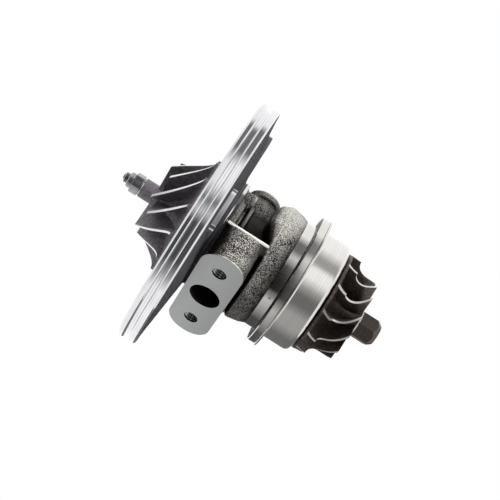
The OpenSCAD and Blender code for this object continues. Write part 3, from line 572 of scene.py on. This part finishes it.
def make_piece(name, parts, materials, body, replaced=None, closed=True, broken=0):
    """A piece from parts of points, faces and finishes, in millimetres, that rides on a body.
    Its sharp edges are broken by a width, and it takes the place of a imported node."""
    mesh = bpy.data.meshes.new(name)
    points = np.concatenate([p for p, f, m in parts]) * MM
    offsets = np.cumsum([0] + [len(p) for p, f, m in parts])
    faces = [face for (p, f, m), o in zip(parts, offsets) for face in (f + o).tolist()]
    finish = np.concatenate([np.broadcast_to(m, len(f)) for p, f, m in parts]).astype(np.int32)
    mesh.from_pydata(points.tolist(), [], faces)
    mesh.polygons.foreach_set("material_index", finish)
    work = bmesh.new()
    work.from_mesh(mesh)
    bmesh.ops.remove_doubles(work, verts=work.verts, dist=DOUBLED)
    if closed:
        bmesh.ops.recalc_face_normals(work, faces=work.faces)
    if broken:
        sharp = [e for e in work.edges if e.is_manifold and e.calc_face_angle() > SHARP_CORNER]
        bmesh.ops.bevel(work, geom=sharp, offset=broken, segments=1, affect="EDGES", clamp_overlap=True)
    work.to_mesh(mesh)
    work.free()
    mesh.shade_smooth()
    mesh.set_sharp_from_angle(angle=SMOOTH_BEND)
    for material in materials:
        mesh.materials.append(material)
    piece = bpy.data.objects.new(name, mesh)
    scene.collection.objects.link(piece)
    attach(piece, body)
    if replaced:
        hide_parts(replaced)
    print(name, "faces:", len(mesh.polygons))
    return piece


# %% [markdown]
# ### Compressor wheel
# Six full blades start at the nose, with six shorter splitters between them. They lean over most at the
# inlet and stand radially at the rim. The hub and the shroud are each about a quarter of an ellipse.

# %% Curves of the compressor wheel
COMP_BACK, COMP_NOSE, COMP_LE, COMP_HUB_START, COMP_HUB_END = -0.8, -32.8, -24.2, -24.9, -2.2
COMP_TIP_R, COMP_BLADE_R, COMP_EYE_R, COMP_NOSE_R, COMP_BORE = 36.8, 36.55, 22.5, 5.9, 3.02
COMP_TIP_W, COMP_WRAP, COMP_WRAP_POWER, SHROUD_ROUNDING = 1.7, math.radians(41), 1.2, 0.4


def comp_path(s, h):
    """Place and radius of a blade's points, along its chord and over its span."""
    sine, cosine = quarter(s)
    x_root = mix(COMP_LE, COMP_HUB_END, sine) + ROOT_SINK * sine
    r_root = mix(COMP_NOSE_R - ROOT_SINK, COMP_BLADE_R, 1 - cosine)
    x_edge = mix(COMP_LE, COMP_HUB_END - COMP_TIP_W, sine)
    r_edge = mix(COMP_EYE_R, COMP_BLADE_R, mix(1 - cosine, sine, SHROUD_ROUNDING))
    return mix(x_root, x_edge, h), mix(r_root, r_edge, h)


def comp_turn(s, x):
    """How far a blade has turned about the axis."""
    return COMP_WRAP * (1 - quarter(s)[0]) ** COMP_WRAP_POWER


print("compressor wheel: %.1f mm across" % (2 * COMP_TIP_R))

# %% Compressor wheel
COMP_PHASE, COMP_BLADES, SPLITTER_SETBACK = 57.8, 6, 3.1
COMP_EDGE_T, COMP_FILLET, COMP_ROOT_EXTRA = 1.4, 0.9, 0.7
HUB_STEPS, NOSE_CHAMFER = 40, 0.5

hub_sine, hub_cosine = quarter(np.linspace(0, 1, HUB_STEPS))
hub = list(zip(mix(COMP_HUB_START, COMP_HUB_END, hub_sine), mix(COMP_NOSE_R, COMP_TIP_R, 1 - hub_cosine)))
profile = ([(COMP_NOSE, COMP_BORE), (COMP_NOSE, COMP_NOSE_R - NOSE_CHAMFER),
            (COMP_NOSE + NOSE_CHAMFER, COMP_NOSE_R)] + hub
           + [(COMP_BACK, COMP_TIP_R), (COMP_BACK, COMP_BORE), (COMP_NOSE, COMP_BORE)])
x, r = np.array(profile).T
points, faces = turned_points(x, r[:, None])
nose_faces = 2 * ROUND
parts = [(points, faces[:nose_faces], CUT_FACE), (points, faces[nose_faces:], CAST_FACE)]
splitter_start = math.asin(SPLITTER_SETBACK / (COMP_HUB_END - COMP_LE)) / (math.pi / 2)
for i in range(2 * COMP_BLADES):
    start = splitter_start if i % 2 else 0
    points = blade_points(comp_path, comp_turn, COMP_EDGE_T, start, COMP_FILLET, COMP_ROOT_EXTRA)
    points = about_axis(points.reshape(-1, 3), COMP_PHASE + i * 180 / COMP_BLADES)
    parts.append((points, fine_faces, fine_finish))
make_piece("compressor_wheel_fine", parts, [cast_aluminium, edge_aluminium], "rotor",
           "compressor_wheel")

# %% [markdown]
# ### Turbine wheel
# Twelve thick blades stand almost radially at the rim, then curve back at the outlet. The hub's nose has a
# turned chamfer.

# %% Curves of the turbine wheel
TURB_BACK, TURB_HUB_X, TURB_EXIT, TURB_HUB_END, TURB_NOSE = 87.8, 89.5, 109.8, 111.0, 112.3
TURB_TIP_R, TURB_EXIT_R, TURB_HUB_R, TURB_TIP_W, RIM_ROUNDING = 31.3, 25, 9.2, 7.2, 1.5
TURB_LEAN, TURB_LEAN_END, TURB_BEND, TURB_TURN = math.radians(6), 95.8, 98.0, math.radians(22)


def turb_path(s, h):
    """Place and radius of a blade's points, along its chord and over its span."""
    sine, cosine = quarter(s)
    x_root = mix(TURB_HUB_X, TURB_HUB_END, 1 - cosine) - ROOT_SINK * cosine
    r_root = mix(TURB_TIP_R, TURB_HUB_R, sine) - ROOT_SINK * sine
    x_edge = mix(TURB_BACK + TURB_TIP_W, TURB_EXIT, 1 - cosine)
    r_edge = mix(TURB_EXIT_R, TURB_TIP_R, (1 - sine) ** RIM_ROUNDING)
    return mix(x_root, x_edge, h), mix(r_root, r_edge, h)


def turb_turn(s, x):
    """How far a blade has turned about the axis: it leans at the rim and turns back at the outlet."""
    lean = TURB_LEAN * np.sin(math.pi / 2 * np.clip((x - TURB_BACK) / (TURB_LEAN_END - TURB_BACK), 0, 1))
    back_turn = TURB_TURN * (np.clip(x - TURB_BEND, 0, None) / (TURB_EXIT - TURB_BEND)) ** 2
    return lean - back_turn


print("turbine wheel: %.1f mm across" % (2 * TURB_TIP_R))

# %% Hub and blades of the turbine wheel
TURB_PHASE, TURB_BLADES, TURB_EDGE_T, TURB_FILLET, TURB_ROOT_EXTRA = 11, 12, 1.3, 0.2, 0.2
TURB_CHAMFER, TURB_DISC_R = 0.9, TURB_TIP_R - 0.2

hub = list(zip(mix(TURB_HUB_X, TURB_HUB_END, 1 - hub_cosine), mix(TURB_DISC_R, TURB_HUB_R, hub_sine)))
profile = ([(TURB_BACK, 0), (TURB_BACK, TURB_DISC_R)] + hub
           + [(TURB_NOSE - TURB_CHAMFER, TURB_HUB_R), (TURB_NOSE, TURB_HUB_R - TURB_CHAMFER), (TURB_NOSE, 0)])
x, r = np.array(profile).T
points, faces = turned_points(x, r[:, None])
chamfer = np.arange(len(faces)) // ROUND == len(profile) - 3
turbine_parts = [(points, faces[chamfer], CUT_FACE), (points, faces[~chamfer], CAST_FACE)]
points = blade_points(turb_path, turb_turn, TURB_EDGE_T, 0, TURB_FILLET, TURB_ROOT_EXTRA).reshape(-1, 3)
for i in range(TURB_BLADES):
    turbine_parts.append((about_axis(points, TURB_PHASE + i * 360 / TURB_BLADES), fine_faces, fine_finish))
print("turbine parts:", len(turbine_parts))

# %% [markdown]
# ### Hexagon on the turbine wheel
# The wheel ends in a hexagon with a turned chamfer, which holds the rotor while the nut is tightened. At
# each angle its surface is the nearer of two: the flat of the hexagon and the cone of the chamfer.

# %% Hexagon and finished turbine wheel
HEX_FLATS, HEX_END, HEX_PHASE, HEX_SUNK = 15, 125.3, 58.7, 1
CONE_START, CONE_OVER, CONE_SLOPE, CONE_STEP = HEX_END - 5, 1, 4.6 / 6, 0.2
SHANK_STATIONS, CONE_STATIONS, SIXTH = 4, 25, math.pi / 3

flat = HEX_FLATS / 2 / np.cos((ANGLES + SIXTH / 2) % SIXTH - SIXTH / 2)
station = np.append(np.linspace(TURB_NOSE - HEX_SUNK, CONE_START, SHANK_STATIONS),
                    np.linspace(CONE_START + CONE_STEP, HEX_END, CONE_STATIONS))
cone = HEX_FLATS / 2 / math.cos(SIXTH / 2) + CONE_OVER - CONE_SLOPE * np.clip(station - CONE_START, 0, None)
points, faces = turned_points(station, np.minimum(flat, cone[:, None]))
last = np.arange(len(points) - ROUND, len(points))
cap = np.stack((last, np.roll(last, -1), np.full(ROUND, len(points))), axis=-1)
points = about_axis(np.concatenate((points, [(HEX_END, 0, 0)])), HEX_PHASE)
turbine_parts += [(points, faces, GROUND_FACE), (points, cap, GROUND_FACE)]
make_piece("turbine_wheel_fine", turbine_parts, [cast_nickel, edge_nickel, ground_nickel], "rotor",
           "turbine_wheel")

# %% [markdown]
# ## A casting with rounded corners
# Sand can't hold a sharp corner, so each edge of a casting is rounded and each inside corner is filled.
# The solid has sharp edges. Its surface is divided into small cells of even size, and each point then
# moves towards the middle of its neighbours a few times, which rounds the edges off. The machined faces
# are taken over from the solid as they are, and the cells under them are sunk out of sight. So the first
# step is to tell how far a point lies from what is machined.

# %% Machined surfaces of the solid
DRAIN_X, DRAIN_Z, DRAIN_HOLE_R, DRAIN_HOLE_TOP = 30.2, -39.9, 9.3, -23.9
BOLT_Y, BOLT_HOLE_R = 26, 4.4
INLET_X, INLET_Z, INLET_HOLE_R, INLET_BOTTOM, INLET_PAD_END = 31.1, 36, 5.4, 23.5, 41.5
FRONT_X, RIM_X, RIM_R, LAND_X, BORE_R = 16.55, 19.15, 33.15, 57.25, 18.2
SKIM = 0.05


def machined(points):
    """How far each point, in millimetres, lies outside the nearest machined surface's region."""
    x, y, z = points.T
    r = np.hypot(y, z)
    drain = np.hypot(x - DRAIN_X, y) - DRAIN_HOLE_R
    bolts = np.hypot(x - DRAIN_X, np.abs(y) - BOLT_Y) - BOLT_HOLE_R
    holes = np.maximum(np.minimum(drain, bolts), z - DRAIN_HOLE_TOP)
    inlet = np.maximum(np.hypot(x - INLET_X, y) - INLET_HOLE_R, INLET_BOTTOM - z)
    rim = np.maximum(x - RIM_X, RIM_R - r)
    inlet_pad = np.maximum(INLET_Z - SKIM - z, x - INLET_PAD_END)
    drain_face = z - (DRAIN_Z + SKIM)
    return np.min([holes, inlet, rim, drain_face, inlet_pad, LAND_X - x, x - FRONT_X, r - BORE_R], axis=0)


def mesh_points(mesh):
    """Corners of a mesh, in millimetres."""
    points = np.empty(3 * len(mesh.vertices))
    mesh.vertices.foreach_get("co", points)
    return points.reshape(-1, 3) / MM


solid = nodes["bearing_housing"]
print("machined corners:", (machined(mesh_points(solid.data)) <= 0).sum())

# %% [markdown]
# ### Cast relief beside the waist
# Some relief of the casting is finer than the solid: a thin web beside the waist, a thick root behind the
# front flange, the drum's shoulder, which flares forward as it goes up, and a lip on the shelf of the
# drain block. The first three are profiles of places and radii, turned part of the way round the axis.

# %% Ribs round the waist
SECTOR_STEPS = 48
WEB = (25.6, 18.5), (25.6, 24.5), (28.4, 24.5), (28.4, 18.5)
ROOT = (16.8, 18.5), (16.8, 27), (22.8, 25), (23.4, 18.5)
FLARE = (0, 18), (0, 30), (1.5, 34.2), (5, 36), (9, 36.2), (9, 18)
FLARE_FOOT, FLARE_X, FLARE_SLOPE, FLARE_GROWTH, FLARE_FIRST, FLARE_LAST = -19, 44.3, 0.187, 0.01, 38.5, 45.5


def flare_places(x, degrees):
    """Places of the flare's profile at each angle: it starts further forward where it is higher."""
    height = np.minimum(degrees, 180 - degrees) - FLARE_FOOT
    start = np.clip(FLARE_X - FLARE_SLOPE * height, FLARE_FIRST, None)
    return np.minimum(start[:, None] + np.outer(1 + height * FLARE_GROWTH, x), FLARE_LAST)


def ring_sector(profile, start, end):
    """A closed profile of places and radii, turned about the rotor's axis from one angle to another."""
    degrees = np.linspace(start, end, SECTOR_STEPS)
    x, r = np.array(profile).T
    places = flare_places(x, degrees) if profile is FLARE else np.broadcast_to(x, (SECTOR_STEPS, len(x)))
    angle = np.radians(degrees)
    corners = np.stack([places, np.outer(np.cos(angle), r), np.outer(np.sin(angle), r)], axis=-1)
    number = np.arange(SECTOR_STEPS * len(x)).reshape(SECTOR_STEPS, -1)
    sides = grid_faces(number, closed=True)[:, FLIPPED]
    return corners.reshape(-1, 3) * MM, sides.tolist() + [number[0].tolist(), number[-1, ::-1].tolist()]


print("corners in the outlines of web, root and flare:", len(WEB), len(ROOT), len(FLARE))

# %% Relief added to a copy of the solid
RIBS = (WEB, 15, 75), (WEB, 105, 200), (WEB, -20, 30), (FLARE, -19, 199), (ROOT, -20, 75), (ROOT, 105, 200)
SHELF = (18, -39.8, -17.9), (45.5, -10, -15.8)
SHELVES = SHELF, [(x, -y, z) for x, y, z in SHELF]

cells = solid.copy()
cells.data = solid.data.copy()
grown = bmesh.new()
grown.from_mesh(cells.data)
for profile, start, end in RIBS:
    corners, sides = ring_sector(profile, start, end)
    verts = [grown.verts.new(c) for c in corners]
    for side in sides:
        grown.faces.new([verts[i] for i in side])
for low, high in SHELVES:
    shelf = bmesh.ops.create_cube(grown, size=MM)["verts"]
    size = [abs(b - a) for a, b in zip(low, high)]
    bmesh.ops.scale(grown, vec=size, verts=shelf)
    bmesh.ops.translate(grown, vec=[(a + b) / 2 * MM for a, b in zip(low, high)], verts=shelf)
bmesh.ops.recalc_face_normals(grown, faces=grown.faces)
grown.to_mesh(cells.data)
grown.free()
print("ribs and shelves added:", len(RIBS) + len(SHELVES))

# %% [markdown]
# ### Even cells, then rounding
# A voxel Remesh joins the solid and its relief into one skin of even cells. Near the machined faces the
# rounding fades out, so that the skin still meets them.

# %% Even cells
CELL = 0.55 * MM

scene.collection.objects.link(cells)
even = cells.modifiers.new("even_cells", "REMESH")
even.mode = "VOXEL"
even.voxel_size = CELL
even_mesh = bpy.data.meshes.new_from_object(cells.evaluated_get(bpy.context.evaluated_depsgraph_get()))
bpy.data.objects.remove(cells)
points = mesh_points(even_mesh)
print("cell corners:", len(points))

# %% Rounded corners
ROUNDS, PULL, FADE, SUNK = 12, 0.5, 1.5, 0.25

links = np.empty(2 * len(even_mesh.edges), dtype=np.int32)
even_mesh.edges.foreach_get("vertices", links)
a, b = links.reshape(-1, 2).T
here, there = np.concatenate((a, b)), np.concatenate((b, a))
count = np.bincount(here, minlength=len(points))
outside = machined(points)
pull = PULL * np.clip(outside / FADE, 0, 1)[:, None]
for i in range(ROUNDS):
    total = np.stack([np.bincount(here, points[there, k], len(points)) for k in range(3)], axis=-1)
    points += pull * (total / count[:, None] - points)
normals = np.empty(3 * len(points))
even_mesh.vertices.foreach_get("normal", normals)
points -= SUNK * (outside <= 0)[:, None] * normals.reshape(-1, 3)
print("rounded corners:", (pull > 0).sum())

# %% Housing with cast corners
ON_MACHINED = 0.02

quads = np.array([face.vertices for face in even_mesh.polygons])
solid_points = mesh_points(solid.data)
cut_corners = machined(solid_points) <= ON_MACHINED
cut_faces = np.array([face.vertices for face in solid.data.polygons
                      if all(cut_corners[v] for v in face.vertices)])
print("cells:", len(quads), "machined faces:", len(cut_faces))
make_piece("bearing_housing_cast", [(points, quads, 0), (solid_points, cut_faces, 0)], [cast_iron], "housing",
           "bearing_housing", closed=False)

# %% [markdown]
# ## Broken edges
# A turned or pressed edge is never left sharp: a file or a tool takes off a thin strip, which catches the
# light as a fine line. The seal plate, the nut and the heat shield get such strips. The groove in the
# plate's rim also has lips, whose corners are moved by less than a millimetre, so that each lip shows as
# a bright line beside the groove.

# %% Lips of the plate's groove
LIP_CORNER_R, LIP_R, GROOVE_R, GROOVE_START, GROOVE_END = 76.5, 76.8, 74.9, 3, 7
FRONT_LIP, FRONT_SHIFT = (2, 3.2), 0.8
REAR_LIP, REAR_SHIFT = (6.7, 7.9), -0.2
SAME_R = 0.02

plate = mesh_points(nodes["seal_plate"].data)
along, radius = plate[:, 0].copy(), np.hypot(plate[:, 1], plate[:, 2])
lip = np.isclose(radius, LIP_CORNER_R, atol=SAME_R) & (along > GROOVE_START) & (along < GROOVE_END)
plate[lip, 1:] *= LIP_R / LIP_CORNER_R
for (start, end), shift in (FRONT_LIP, FRONT_SHIFT), (REAR_LIP, REAR_SHIFT):
    moved = (radius > GROOVE_R) & (along > start) & (along < end)
    plate[moved, 0] += shift
print("corners of the groove's lips:", lip.sum())

# %% Plate, shield and nut with broken edges
BROKEN = (("seal_plate", "housing", "turned_aluminium", 0.1 * MM),
          ("heat_shield", "housing", "stainless_sheet", 0.15 * MM),
          ("compressor_nut", "rotor", "bright_steel", 0.25 * MM))

for name, body, slot, width in BROKEN:
    mesh = nodes[name].data
    corners = plate if name == "seal_plate" else mesh_points(mesh)
    parts = [(corners, np.array([face.vertices for face in mesh.polygons]), 0)]
    make_piece(name + "_broken_edges", parts, [FINISHES[name]], body, name, broken=width)

# %% [markdown]
# ## Threads
# The two bolt holes are tapped, and the shaft's end is threaded for the nut. A thread is a small triangle
# carried round in a helix. It is finer than the mechanics need, so the solids have plain holes.

# %% Threads
STEPS, CREST_SHARE, FOOT_SHARE = 24, 0.4, 0.8
TAP_START, TAP_END, TAP_ROOT, TAP_CREST, TAP_PITCH = -39.2, -27.2, 4.3, 3.75, 1.5
STUD_START, STUD_END, STUD_ROOT, STUD_CREST, STUD_PITCH = -44.7, -41, 2.9, 3.3, 1


def thread_parts(start, end, root, crest, pitch):
    """A ridge along the first axis in a helix, from its root to its crest."""
    turns = (end - start) / pitch
    angle = np.linspace(0, turns * 2 * math.pi, round(turns * STEPS) + 1)
    place = start + angle / (2 * math.pi) * pitch
    outline = (place, root), (place + CREST_SHARE * pitch, crest), (place + FOOT_SHARE * pitch, root)
    ridge = [np.stack((x, r * np.cos(angle), r * np.sin(angle)), axis=-1) for x, r in outline]
    points = np.stack(ridge, axis=1).reshape(-1, 3)
    number = np.arange(len(points)).reshape(-1, 3)
    return [(points, grid_faces(number, closed=True), 0), (points, number[[0, -1]], 0)]


tapped = thread_parts(TAP_START, TAP_END, TAP_ROOT, TAP_CREST, TAP_PITCH)
holes = [(points[:, [1, 2, 0]] + (DRAIN_X, side * BOLT_Y, 0), faces, finish)
         for side in (-1, 1) for points, faces, finish in tapped]
make_piece("drain_bolt_threads", holes, [journal_steel], "housing")
stud = thread_parts(STUD_START, STUD_END, STUD_ROOT, STUD_CREST, STUD_PITCH)
make_piece("shaft_end_thread", stud, [bright_steel], "rotor")

# %% [markdown]
# ## The studio
# The picture has a plain white ground. The world is white to the camera and in reflections, and gives a
# little even light.

# %% World
EVEN_LIGHT = 0.09

world = bpy.data.worlds.new("white_room")
scene.world = world
world.use_nodes = True
tree = world.node_tree
tree.nodes.clear()
rays = add(tree, "LightPath").outputs
seen = add(tree, "Math", {0: rays["Is Camera Ray"], 1: rays["Is Glossy Ray"]}, operation="MAXIMUM")
seen = add(tree, "Math", {0: seen, 1: rays["Is Transmission Ray"]}, operation="MAXIMUM")
strength = add(tree, "MapRange", {"Value": seen, "To Min": EVEN_LIGHT, "To Max": 1})
sky = add(tree, "Background", {"Color": (1, 1, 1, 1), "Strength": strength})
add(tree, "OutputWorld", {"Surface": sky})
print("even light:", EVEN_LIGHT)

# %% [markdown]
# ### A paper floor
# A sheet of white paper lies under the cartridge and takes its shadow. It fades out before its edges, so
# that no line shows against the white world, and it is clear from below, where the camera looks up.

# %% Floor
FLOOR_GAP, FLOOR_REACH, FADE_START, FADE_END = 1 * MM, 1.5, 0.2, 0.5


def stage_plane(name, points, faces, material):
    """A surface of the studio, which is no part of the object."""
    mesh = bpy.data.meshes.new(name)
    mesh.from_pydata(points, [], faces)
    mesh.materials.append(material)
    plane = bpy.data.objects.new(name, mesh)
    scene.collection.objects.link(plane)
    return plane


# White paper: matt, and only a little darker than the world
paper, tree = new_material("white_paper_floor")
geometry = add(tree, "NewGeometry").outputs
sheet = add(tree, "BsdfPrincipled", {"Base Color": linear("#f4f4f2"), "Roughness": 0.8})
clear = add(tree, "BsdfTransparent")
away = add(tree, "VectorMath", {0: geometry["Position"]}, operation="LENGTH").outputs["Value"]
faded = add(tree, "MapRange", {"Value": away, "From Min": FADE_START, "From Max": FADE_END})
gone = add(tree, "Math", {0: geometry["Backfacing"], 1: faded}, operation="MAXIMUM")
one_side = add(tree, "MixShader", {0: gone, 1: sheet, 2: clear})
add(tree, "OutputMaterial", {"Surface": one_side})
floor_z = cad_box[0][2] - FLOOR_GAP
floor_corners = [(x, y, floor_z) for x, y in ((-1, -1), (1, -1), (1, 1), (-1, 1))]
floor = stage_plane("floor", floor_corners, [(0, 1, 2, 3)], paper)
floor.scale = (FLOOR_REACH, FLOOR_REACH, 1)
floor.visible_shadow = False
floor.visible_glossy = False
print("floor at %.1f mm" % (floor_z / MM))

# %% [markdown]
# ### A tent for the metal to reflect
# Bright metal looks like metal only when it has something dark to reflect too. A photographer puts it in
# a tent of white cloth and hangs dark and grey strips in it. Here the tent is a drum round the rotor's
# axis, and only reflections can see it. Its brightness changes with the angle from the camera, upwards
# being negative, and along the axis it has five columns of strips: a pale one beyond the compressor end,
# then one each for what the nut, the plate, the housing's land and the heat shield reflect. Six plain
# tones from white to black are enough, hung at round angles.

# %% Strips of the tent
WHITE, PALE, LIGHT, GREY, DARK, BLACK = "#ffffff", "#d0d0d0", "#a4a4a4", "#707070", "#4c4c4c", "#101010"
# Before its first angle and after its last, a column keeps the tone that it has there
END_STRIPS = {-60: WHITE, -40: LIGHT, 60: LIGHT, 100: WHITE}
NUT_STRIPS = {-60: WHITE, -50: PALE, -40: DARK, 20: DARK, 70: LIGHT, 90: PALE, 130: WHITE}
PLATE_STRIPS = {
    -110: WHITE, -100: GREY, -70: GREY, -55: WHITE, -35: WHITE, -20: GREY, -10: PALE, 0: DARK, 35: DARK,
    50: LIGHT, 65: WHITE,
}
LAND_STRIPS = {
    -95: WHITE, -75: GREY, -55: GREY, -40: PALE, -20: BLACK, 30: BLACK, 55: PALE, 80: LIGHT, 110: DARK,
    160: DARK, 180: WHITE,
}
SHIELD_STRIPS = {
    -95: WHITE, -70: LIGHT, -55: LIGHT, -45: WHITE, -25: WHITE, -5: LIGHT, 10: GREY, 30: GREY, 50: LIGHT,
    80: LIGHT, 110: GREY, 160: GREY, 180: WHITE,
}
COLUMNS = END_STRIPS, NUT_STRIPS, PLATE_STRIPS, LAND_STRIPS, SHIELD_STRIPS
print("columns of strips in the tent:", len(COLUMNS))

# %% Reflection tent
TENT_R, TENT_REACH, TENT_STEPS, TENT_GLOW = 0.9, 0.9, 240, 1.12
# Where two columns meet on the axis, and half the width of their blurred seam
SEAMS = {-165 * MM: 15 * MM, -95 * MM: 12 * MM, 52 * MM: 12 * MM, 129 * MM: 4 * MM}


def strip_colours(strips, degrees):
    """Linear tones of a column at some angles."""
    stops = np.array([linear(code) for code in strips.values()])
    return np.stack([np.interp(degrees, list(strips), channel) for channel in stops.T], axis=-1)


# Lit cloth: it glows evenly in the tone of its strips
cloth, tree = new_material("striped_white_cloth")
shade = add(tree, "Attribute", attribute_name="shade").outputs["Color"]
glow = add(tree, "Emission", {"Color": shade, "Strength": TENT_GLOW})
add(tree, "OutputMaterial", {"Surface": glow})
degrees = np.linspace(-180, 180, TENT_STEPS + 1)
stations = [-TENT_REACH] + [at + side * blur for at, blur in SEAMS.items() for side in (-1, 1)] + [TENT_REACH]
points = [(toward * math.cos(a) - upward * math.sin(a)) * TENT_R + rotor * x
          for a in np.radians(degrees) for x in stations]
faces = grid_faces(np.arange(len(points)).reshape(-1, len(stations)))
tent = stage_plane("reflection_tent", points, faces.tolist(), cloth)
colours = np.stack([strip_colours(strips, degrees) for strips in COLUMNS], axis=1)
shades = tent.data.attributes.new("shade", "FLOAT_COLOR", "POINT")
shades.data.foreach_set("color", np.repeat(colours, 2, axis=1).ravel())
tent.visible_camera = tent.visible_diffuse = tent.visible_shadow = tent.visible_transmission = False
print("corners of the tent:", len(points))

# %% [markdown]
# ### Lamps
# Four square softboxes light what isn't a mirror: a key lamp above the camera, a weak fill below it, one
# on the compressor's side and one from behind for the edges. The metal doesn't show them, because the
# tent already gives it its reflections.

# %% Lamps
SOFTBOXES = (
    ("key_softbox", upward * 0.9 + toward * 0.35 - rotor * 0.12, 0.9, 0.35, 16),
    ("fill_softbox", toward * 0.8 - upward * 0.5 + rotor * 0.2, 1.0, 0.6, 1.6),
    ("side_softbox", toward * 0.4 - rotor * 0.85 - upward * 0.1, 1.0, 0.6, 5),
    ("back_softbox", up * 0.3 - back * 0.9 + right * 0.2, 1.0, 0.6, 4),
)

for name, direction, distance, width, watts in SOFTBOXES:
    lamp = bpy.data.lights.new(name, "AREA")
    lamp.shape = "SQUARE"
    lamp.size = width
    lamp.energy = watts
    box = bpy.data.objects.new(name, lamp)
    box.location = aim + direction.normalized() * distance
    box.rotation_euler = (aim - box.location).to_track_quat("-Z", "Y").to_euler()
    box.visible_glossy = False
    scene.collection.objects.link(box)
print("lamps:", len(SOFTBOXES))
